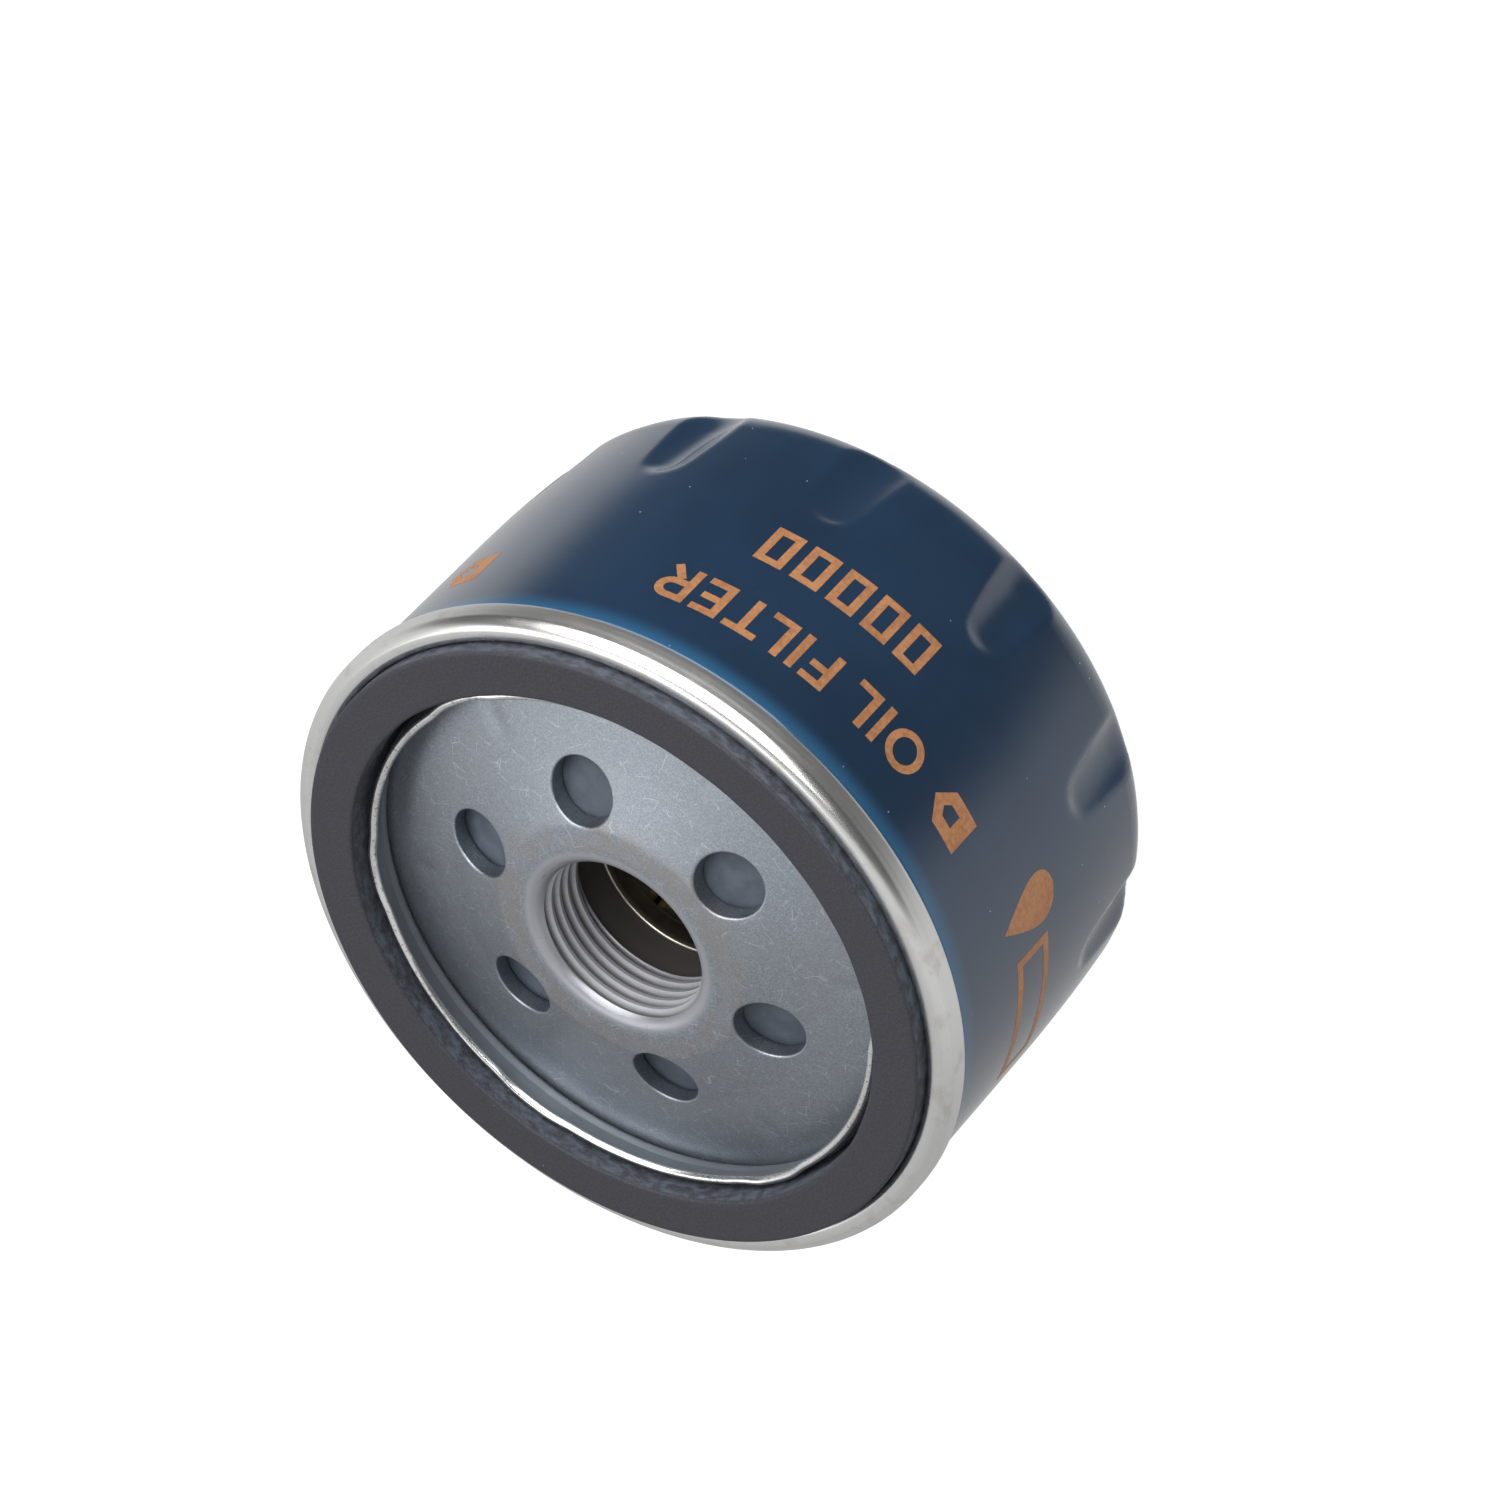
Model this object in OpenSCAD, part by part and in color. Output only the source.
// Spin-on oil filter, standing on its domed end with the threaded mouth up.
// The origin is the middle of the dome's flat pad and +Z runs up the thread's axis.

/* [Can] */
// Outside diameter of the can
can_d = 76; // [72:1:92]
// Height from the dome's pad to the gasket's sealing face
filter_h = 50; // [48:1:70]
// Thickness of the can's and the lid's steel sheet
sheet_t = 0.5; // [0.4:0.05:0.6]
// Height at which the wall starts to taper towards the dome
taper_z = 17.4; // [14:0.2:20]
// Taper of the wall's lower part, in degrees
taper_angle = 4.4; // [2:0.2:6]
// Radius of the dome's outer corner
dome_corner_r = 6.1; // [5:0.1:7]
// Drop of the middle pad below the dome's outer ring
pad_drop = 3.9; // [2:0.1:5]
// Diameter of the dome's flat middle pad
pad_d = 40; // [38:1:44]

/* [Wrench flutes] */
// Number of flutes round the dome
flute_count = 12; // [8:1:14]
// Width of a flute across the wall
flute_w = 6.5; // [4:0.1:8]
// Depth of a flute
flute_depth = 0.9; // [0.5:0.1:1.2]
// Height of the flutes' round upper ends
flute_top_z = 19.8; // [17:0.2:22]
// Angle of the first flute
flute_phase = 21.5; // [0:0.5:30]

/* [Seam and lid] */
// Height of the seam ring
seam_h = 3.6; // [3.4:0.1:4]
// How far the seam stands out from the can's wall
seam_step = 0.75; // [0.6:0.05:1]
// Drop from the gasket's face to the seam's top
seam_drop = 1.5; // [1:0.1:2]
// Gap between neighbouring layers of the seam
layer_gap = 0.06; // [0.04:0.01:0.08]
// Drop from the gasket's face to the lid's raw inner lip
lip_drop = 2; // [1.6:0.1:2.6]
// Drop from the gasket's face to the floor under the gasket
floor_drop = 6; // [5:0.1:6.4]
// Lean of the lid's inner neck towards the axis
neck_lean = 0.9; // [0.4:0.1:1.2]
// Number of crimps that hold the gasket
crimp_count = 6; // [4:1:8]
// Width of a crimp, in degrees
crimp_angle = 13.5; // [8:0.5:18]
// Outward push of a crimp at the lip
crimp_push = 0.5; // [0.3:0.05:0.6]
// Angle of the first crimp's middle
crimp_phase = 39.5; // [0:0.5:60]

/* [Gasket] */
// Radial width of the sealing gasket
gasket_w = 5.2; // [4.3:0.1:6.2]

/* [Base plate and thread] */
// Outside diameter of the mounting thread
thread_d = 20; // [16:1:22]
// Pitch of the mounting thread
thread_pitch = 1.5; // [1:0.25:1.5]
// Wall of the extruded hub outside the thread
hub_wall = 2.6; // [2:0.1:3]
// Length of the hub from its crest to its lower end
hub_l = 8.2; // [7:0.1:9]
// Drop from the gasket's face to the hub's crest
crest_drop = 1.9; // [1.5:0.1:2.4]
// Thickness of the base plate
plate_t = 2; // [1.6:0.1:2.4]
// Number of oil inlet holes
inlet_count = 6; // [4:1:8]
// Diameter of an inlet hole
inlet_d = 7.3; // [5:0.1:7.6]
// Diameter of the circle of inlet holes
inlet_pcd = 35.4; // [34:0.2:37]
// Angle of the first inlet hole
inlet_phase = 16.5; // [0:0.5:60]

/* [Anti-drain valve] */
// Thickness of the rubber flap
flap_t = 1.3; // [1:0.1:1.5]
// Width of the flap beyond the inlet holes
flap_cover = 4.1; // [2:0.1:5]
// Distance that the flap opens
flap_travel = 1.2; // [0.8:0.1:1.4]
// Length of the rubber neck below the hub
neck_l = 5; // [4:0.1:6]

/* [Filter element] */
// Gap between the element's end caps and the can's inside
element_gap = 5.5; // [4:0.1:7]
// Outside diameter of the perforated centre tube
tube_d = 28; // [27:0.5:34]
// Number of pleats in the paper
pleat_count = 40; // [30:1:44]
// Thickness of the paper
paper_t = 0.6; // [0.5:0.05:0.7]
// Thickness of the adhesive at each end of the paper
potting_t = 1.2; // [0.8:0.1:1.6]
// Distance that the element can sink on its spring
element_travel = 1; // [0.6:0.1:1.2]
// Room left under the element when it has sunk
sunk_gap = 3.1; // [2.5:0.1:4]
// Length of the end cap's collar inside the valve's neck
collar_engagement = 1; // [0.8:0.1:1.6]

/* [Bypass valve] */
// Diameter of the bypass port
port_d = 13; // [11:0.5:15.6]
// Width of the poppet's plate beyond the port
poppet_cover = 2.3; // [2:0.1:2.5]
// Travel of the poppet
poppet_travel = 2.5; // [1.5:0.1:3]
// Diameter of the poppet's stem
stem_d = 4.8; // [4:0.2:5]
// Wire diameter of the bypass spring
bypass_wire_d = 0.8; // [0.6:0.1:1]

/* [Hidden] */

eps = 0.01;
body_gap = 0.3;      // between pieces that move past each other
seat_gap = 0.05;     // between pieces that rest on each other
running_gap = 0.06;  // radial clearance of a sliding fit
arc_steps = 8;
$fn = 96;

can_r = can_d / 2;
seam_top_z = filter_h - seam_drop;
seam_low_z = seam_top_z - seam_h;
lip_z = filter_h - lip_drop;
floor_z = filter_h - floor_drop;
crest_z = filter_h - crest_drop;
hub_low_z = crest_z - hub_l;
hub_r = thread_d / 2 + hub_wall;
thread_minor_r = thread_d / 2 - 0.5413 * thread_pitch;  // ISO metric internal thread

// Radii of the seam's five layers, from the lid's outer skirt inwards
layer_pitch = sheet_t + layer_gap;
skirt_r = can_r + seam_step - sheet_t / 2;
can_hook_r = skirt_r - layer_pitch;
lid_hook_r = skirt_r - 2 * layer_pitch;
can_neck_r = skirt_r - 3 * layer_pitch;
channel_r = skirt_r - 4 * layer_pitch;
shoulder_r = 1.1;
gasket_ro = channel_r - sheet_t / 2 - seat_gap;
gasket_ri = gasket_ro - gasket_w;

// The element's levels
cap_t = 0.5;
valve_low_z = hub_low_z - body_gap - neck_l;
collar_top_z = valve_low_z + collar_engagement;
element_top_z = valve_low_z - flap_travel - body_gap;
element_r = can_r - sheet_t - element_gap;
element_z = pad_drop + sheet_t + element_travel + sunk_gap;
cap_rim_h = 3;
tube_t = 0.5;
tube_ro = tube_d / 2;
tube_ri = tube_ro - tube_t;
paper_low_z = element_z + cap_t + potting_t;
paper_high_z = element_top_z - cap_t - potting_t;
paper_ri = tube_ro + 0.5;
bond_r = element_r - cap_t - 0.6;
paper_ro = bond_r - 0.1;
collar_r = thread_minor_r + 1.3;

// The bypass valve's levels
valve_t = 0.6;
valve_z = element_z + cap_t;
seat_lip_h = 0.6;
seat_z = valve_z + valve_t + seat_lip_h;
seal_t = 1;
seal_z = seat_z + body_gap;
poppet_z = seal_z + seal_t;
poppet_r = port_d / 2 + poppet_cover;
spring_z = poppet_z + valve_t;
bypass_turns = 4;
retainer_z = spring_z + (bypass_turns + 1) * bypass_wire_d + poppet_travel + 0.9;

// ---- Sheet metal profiles ----

function unit(v) = v / norm(v);

// Angle b - a, between -180 and 180 degrees
function turn(a, b) = let (d = b - a) d > 180 ? d - 360 : d < -180 ? d + 360 : d;

// The corner b of the path a, b, c, rounded with radius r
function bend(a, b, c, r) =
    let (u = unit(a - b), v = unit(c - b), half = acos(u * v) / 2,
         centre = b + unit(u + v) * r / sin(half),
         first = b + u * r / tan(half) - centre, last = b + v * r / tan(half) - centre,
         start = atan2(first.y, first.x), sweep = turn(start, atan2(last.y, last.x)))
    [for (i = [0:arc_steps])
        centre + r * [cos(start + sweep * i / arc_steps), sin(start + sweep * i / arc_steps)]];

// A path of [r, z] points with every inner corner rounded by its own radius
function rounded(path, radii) = concat(
    [path[0]],
    [for (i = [1:len(path) - 2]) each bend(path[i - 1], path[i], path[i + 1], radii[i - 1])],
    [path[len(path) - 1]]);

// The mitred left-hand normal of a path at point i
function normal_at(path, i) =
    let (last = len(path) - 1,
         before = unit(path[max(i, 1)] - path[max(i, 1) - 1]),
         after = unit(path[min(i, last - 1) + 1] - path[min(i, last - 1)]),
         along = unit(before + after))
    [-along.y, along.x] / (along * before);

function shifted(path, d) = [for (i = [0:len(path) - 1]) path[i] + normal_at(path, i) * d];
function reversed(path) = [for (i = [len(path) - 1:-1:0]) path[i]];

// The closed outline of a sheet of thickness t along a path
function sheet(path, t) = concat(shifted(path, t / 2), reversed(shifted(path, -t / 2)));

module spun(outline) { rotate_extrude() polygon(outline); }

// A ring of rectangular section
module ring(r_in, r_out, z_low, z_high) {
    translate([0, 0, z_low]) difference() {
        cylinder(r = r_out, h = z_high - z_low);
        translate([0, 0, -eps]) cylinder(r = r_in, h = z_high - z_low + 2 * eps);
    }
}

// ---- Can ----

wall_split_z = 30;
dome_path = rounded(
    [[0, 0], [pad_d / 2, 0], [pad_d / 2 + 8, pad_drop],
     [can_r - (taper_z - pad_drop) * tan(taper_angle), pad_drop],
     [can_r, taper_z], [can_r, wall_split_z]],
    [4, 4, dome_corner_r, 200]);
can_hook_top_z = seam_top_z - sheet_t - 0.7;
neck_path = rounded(
    [[can_r - sheet_t / 2, wall_split_z], [can_r - sheet_t / 2, seam_low_z - 0.35],
     [can_neck_r, seam_low_z + 0.1], [can_neck_r, can_hook_top_z],
     [can_hook_r, can_hook_top_z], [can_hook_r, seam_low_z + sheet_t + layer_gap]],
    [0.5, 0.4, 0.5, 0.5]);

// A solid of revolution between the axis and a path
module solid_of(path) { spun(concat(path, [[0, path[len(path) - 1].y]])); }

// The round bars that press the flutes, each leaning inwards to follow the taper and the dome's corner
module flute_bars(bar_r, flute_r) {
    lean = 8;
    bar_l = 3 * flute_w;
    for (i = [0:flute_count - 1]) rotate([0, 0, flute_phase + i * 360 / flute_count])
        translate([can_r - flute_depth + flute_r, 0, flute_top_z - flute_w / 2]) rotate([0, lean, 0]) {
            translate([0, 0, -bar_l]) cylinder(r = bar_r, h = bar_l);
            sphere(r = bar_r);
        }
}

module can() {
    flute_r = (flute_w * flute_w / 4 + flute_depth * flute_depth) / (2 * flute_depth);
    color([0.10, 0.19, 0.31]) {
        difference() {
            difference() {
                solid_of(dome_path);
                flute_bars(flute_r, flute_r);
            }
            difference() {
                solid_of(shifted(dome_path, sheet_t));
                flute_bars(flute_r + sheet_t, flute_r);
            }
        }
        spun(sheet(neck_path, sheet_t));
    }
}

// ---- Lid with its seam and gasket channel ----

neck_r = gasket_ri - seat_gap - sheet_t / 2;
neck_z = floor_z + 1.5;
lip_r = neck_r - neck_lean;
lid_path = rounded(
    [[lip_r, lip_z], [neck_r, neck_z], [neck_r, floor_z + sheet_t / 2],
     [channel_r, floor_z + sheet_t / 2], [channel_r, seam_top_z - sheet_t / 2],
     [skirt_r, seam_top_z - sheet_t / 2], [skirt_r, seam_low_z + sheet_t / 2],
     [lid_hook_r, seam_low_z + sheet_t / 2], [lid_hook_r, can_hook_top_z - sheet_t]],
    [1, 0.5, 0.5, 0.55, shoulder_r, 0.5, 0.5]);

// One wedge for each crimp: an outline turned through part of the circle about the crimp's middle
module at_crimps(width) {
    for (i = [0:crimp_count - 1]) rotate([0, 0, crimp_phase + i * 360 / crimp_count - width / 2])
        rotate_extrude(angle = width) children();
}

module seam_lid() {
    half_t = sheet_t / 2;
    side_angle = 0.5;
    color([0.80, 0.80, 0.79]) difference() {
        union() {
            spun(sheet(lid_path, sheet_t));
            at_crimps(crimp_angle) polygon([[neck_r, neck_z], [neck_r + half_t - eps, neck_z],
                                            [lip_r + half_t + crimp_push, lip_z], [lip_r, lip_z]]);
        }
        at_crimps(crimp_angle - 2 * side_angle)
            polygon([[neck_r - half_t, neck_z], [lip_r - half_t + crimp_push, lip_z + eps],
                     [lip_r - half_t + crimp_push, lip_z + 1], [lip_r - 2, lip_z + 1], [lip_r - 2, neck_z]]);
    }
}

module seam_compound() {
    color([0.86, 0.84, 0.74])
        ring(can_neck_r + seat_gap, skirt_r - shoulder_r - seat_gap,
             can_hook_top_z + sheet_t / 2 + seat_gap, seam_top_z - sheet_t - seat_gap);
}

// ---- Base plate ----

// The plate's upper face, from the hub's crest out to the flat rim under the lid
slope = [[thread_d / 2 + 1.6, crest_z], [thread_d / 2 + 4.3, crest_z - 0.2],
         [thread_d / 2 + 11.1, crest_z - 2.1], [gasket_ri - 0.25, floor_z - seat_gap],
         [channel_r - 0.8, floor_z - seat_gap]];
plate_low = shifted(slope, -plate_t);
entry_r = 1.6;
hub_shoulder = 1.2;  // bevel between the hub's outside and the plate's underside

module base_plate() {
    entry = rounded([[thread_minor_r, crest_z - 2 * entry_r], [thread_minor_r, crest_z], slope[0]], [entry_r]);
    color([0.56, 0.56, 0.55]) difference() {
        spun(concat([[thread_minor_r, hub_low_z]], entry, slope, reversed([for (i = [1:4]) plate_low[i]]),
                    [[hub_r, plate_low[1].y - hub_shoulder], [hub_r, hub_low_z]]));
        for (i = [0:inlet_count - 1]) rotate([0, 0, inlet_phase + i * 360 / inlet_count])
            translate([inlet_pcd / 2, 0, floor_z - 2 * plate_t]) cylinder(d = inlet_d, h = 4 * plate_t);
    }
}

module sealing_gasket() {
    bevel = 0.3;
    low_z = floor_z + sheet_t + seat_gap;
    color([0.25, 0.26, 0.29]) spun(
        [[gasket_ri, low_z + bevel], [gasket_ri + bevel, low_z], [gasket_ro - bevel, low_z],
         [gasket_ro, low_z + bevel], [gasket_ro, filter_h - bevel], [gasket_ro - bevel, filter_h],
         [gasket_ri + bevel, filter_h], [gasket_ri, filter_h - bevel]]);
}

// ---- Anti-drain valve ----

module anti_drain_valve() {
    neck_ri = hub_r + running_gap;
    neck_ro = neck_ri + 1.6;
    foot_z = hub_low_z - body_gap;
    foot_ri = collar_r + running_gap;
    shoulder = [neck_ro, plate_low[1].y - body_gap];
    knee = plate_low[2] - [0, body_gap];
    fall = (plate_low[2].y - plate_low[3].y) / (plate_low[3].x - plate_low[2].x);
    rim_r = (inlet_pcd + inlet_d) / 2 + flap_cover;
    rim = [rim_r, knee.y - fall * (rim_r - knee.x)];
    color([0.30, 0.36, 0.42]) spun([
        [foot_ri, foot_z], [foot_ri, valve_low_z], [foot_ri + 1.5, valve_low_z], [neck_ro, foot_z - 1.5],
        shoulder - [0, flap_t + 1.5], shoulder - [-1.5, flap_t + 0.4], knee - [0, flap_t],
        rim - [0, flap_t * 0.6], rim, knee, shoulder,
        [neck_ri, plate_low[1].y - hub_shoulder - body_gap], [neck_ri, foot_z]]);
}

// ---- Filter element ----

module upper_end_cap() {
    color([0.72, 0.73, 0.70]) spun(sheet(rounded(
        [[collar_r - cap_t / 2, collar_top_z], [collar_r - cap_t / 2, element_top_z - cap_t / 2],
         [element_r - cap_t / 2, element_top_z - cap_t / 2],
         [element_r - cap_t / 2, element_top_z - cap_rim_h]], [0.6, 0.8]), cap_t));
}

module lower_end_cap() {
    valve_hole_r = port_d / 2 + 4.5;
    color([0.72, 0.73, 0.70]) spun(sheet(rounded(
        [[valve_hole_r, element_z + cap_t / 2], [element_r - cap_t / 2, element_z + cap_t / 2],
         [element_r - cap_t / 2, element_z + cap_rim_h]], [0.8]), cap_t));
}

module potting(z_low) {
    color([0.62, 0.22, 0.14]) ring(tube_ro + seat_gap, bond_r, z_low, z_low + potting_t);
}

module upper_potting() { potting(paper_high_z); }
module lower_potting() { potting(paper_low_z - potting_t); }

function polar(r, angle) = [r * cos(angle), r * sin(angle)];
function arc_of(w, r) = w / r * 180 / PI;

// One closed outline of the pleats, with half widths of its tips and of its valleys
function pleats(r_tip, tip_half, r_valley, valley_half) =
    let (step = 360 / pleat_count)
    [for (i = [0:pleat_count - 1]) each
        [polar(r_tip, i * step - arc_of(tip_half, r_tip)), polar(r_tip, i * step + arc_of(tip_half, r_tip)),
         polar(r_valley, (i + 0.5) * step - arc_of(valley_half, r_valley)),
         polar(r_valley, (i + 0.5) * step + arc_of(valley_half, r_valley))]];

tip_half = 1.1;

module pleated_media() {
    valley_half = 0.3;
    color([0.86, 0.72, 0.45]) translate([0, 0, paper_low_z])
        linear_extrude(height = paper_high_z - paper_low_z) difference() {
            polygon(pleats(paper_ro, tip_half, paper_ri + paper_t, valley_half));
            polygon(pleats(paper_ro - paper_t, tip_half - paper_t, paper_ri, valley_half + paper_t));
        }
}

// The U-shaped strip that clips the paper's two ends together along one pleat
module media_seam_clip() {
    strip_t = 0.25;
    depth = 2.2;
    half = tip_half + seat_gap;
    color([0.70, 0.71, 0.72]) translate([0, 0, paper_low_z + seat_gap])
        linear_extrude(height = paper_high_z - paper_low_z - 2 * seat_gap) difference() {
            translate([paper_ro - depth, -half - strip_t]) square([depth + seat_gap + strip_t, 2 * (half + strip_t)]);
            translate([paper_ro - depth - eps, -half]) square([depth + seat_gap + eps, 2 * half]);
        }
}

module centre_tube() {
    hole_d = 3.4;
    columns = 10;
    rows = 4;
    low_z = valve_z;
    high_z = element_top_z - cap_t;
    row_h = (high_z - low_z) / (rows + 0.6);
    color([0.66, 0.67, 0.68]) difference() {
        ring(tube_ri, tube_ro, low_z, high_z);
        for (row = [0:rows - 1], column = [0:columns - 1])
            rotate([0, 0, (column + row % 2 / 2) * 360 / columns])
                translate([tube_ri - 1, 0, low_z + (row + 0.8) * row_h])
                    rotate([0, 90, 0]) cylinder(d = hole_d, h = tube_t + 2);
    }
}

// ---- Bypass valve ----

module bypass_valve_body() {
    lip_t = 0.6;
    color([0.74, 0.72, 0.62]) spun([
        [port_d / 2, valve_z], [tube_ri - seat_gap, valve_z], [tube_ri - seat_gap, valve_z + valve_t],
        [port_d / 2 + lip_t, valve_z + valve_t], [port_d / 2 + lip_t, seat_z], [port_d / 2, seat_z]]);
}

seal_hole_r = 4.5;

module bypass_seal() {
    color([0.14, 0.14, 0.15]) ring(seal_hole_r, poppet_r - 0.3, seal_z, poppet_z);
}

module bypass_poppet() {
    rivet_h = seal_t - 0.1;
    stem_top_z = retainer_z + valve_t + 1.4;
    color([0.78, 0.77, 0.72]) spun([
        [0, poppet_z - rivet_h], [seal_hole_r, poppet_z - rivet_h], [seal_hole_r, poppet_z],
        [poppet_r, poppet_z], [poppet_r, spring_z], [stem_d / 2, spring_z],
        [stem_d / 2, stem_top_z - 0.5], [stem_d / 2 - 0.5, stem_top_z], [0, stem_top_z]]);
}

module bypass_retainer() {
    leg_r = tube_ri - 1.6;
    leg_w = 4;
    leg_count = 3;
    foot_l = 1.2;
    color([0.76, 0.76, 0.77]) {
        difference() {
            translate([0, 0, retainer_z]) cylinder(r = leg_r, h = valve_t);
            translate([0, 0, retainer_z - eps]) cylinder(d = stem_d + 2 * running_gap, h = valve_t + 2 * eps);
            for (i = [0:leg_count - 1]) rotate([0, 0, (i + 0.5) * 360 / leg_count])
                translate([leg_r, 0, retainer_z - eps]) cylinder(r = leg_r * 0.55, h = valve_t + 2 * eps);
        }
        for (i = [0:leg_count - 1]) rotate([0, 0, i * 360 / leg_count]) {
            translate([leg_r - valve_t, -leg_w / 2, valve_z + valve_t])
                cube([valve_t, leg_w, retainer_z - valve_z - valve_t / 2]);
            translate([leg_r - valve_t, -leg_w / 2, valve_z + valve_t]) cube([foot_l + valve_t, leg_w, valve_t]);
        }
    }
}

// ---- Springs ----

// Round wire wound from radius r_low at z_low to r_high at z_high, its end turns lying flat.
// The height follows the share of the winding between the two closed half turns.
module coil(wire_d, r_low, r_high, z_low, z_high, turns) {
    sides = 8;
    steps = ceil(turns * 24);
    flat = 0.5 / turns;
    function rise(s) = min(1, max(0, (s - flat) / (1 - 2 * flat)));
    points = [for (k = [0:steps], j = [0:sides - 1])
        let (s = k / steps, angle = 360 * turns * s, around = 360 * j / sides,
             r = r_low + (r_high - r_low) * s + wire_d / 2 * cos(around),
             z = z_low + wire_d / 2 + (z_high - z_low - wire_d) * rise(s) + wire_d / 2 * sin(around))
        [r * cos(angle), r * sin(angle), z]];
    polyhedron(points, concat(
        [[for (j = [0:sides - 1]) j]],
        [for (k = [0:steps - 1], j = [0:sides - 1])
            [k * sides + j, (k + 1) * sides + j, (k + 1) * sides + (j + 1) % sides, k * sides + (j + 1) % sides]],
        [[for (j = [sides - 1:-1:0]) steps * sides + j]]));
}

module bypass_spring() {
    coil_r = stem_d / 2 + 2.8;
    color([0.60, 0.60, 0.58])
        coil(bypass_wire_d, coil_r, coil_r, spring_z + seat_gap, retainer_z - seat_gap, bypass_turns);
}

module element_spring() {
    wire_d = 1.6;
    color([0.58, 0.58, 0.60]) coil(wire_d, 17, 14, sheet_t + seat_gap, element_z - seat_gap, 3);
}

can();
seam_lid();
seam_compound();
base_plate();
sealing_gasket();
anti_drain_valve();
upper_end_cap();
upper_potting();
pleated_media();
media_seam_clip();
centre_tube();
lower_potting();
lower_end_cap();
bypass_valve_body();
bypass_seal();
bypass_poppet();
bypass_spring();
bypass_retainer();
element_spring();
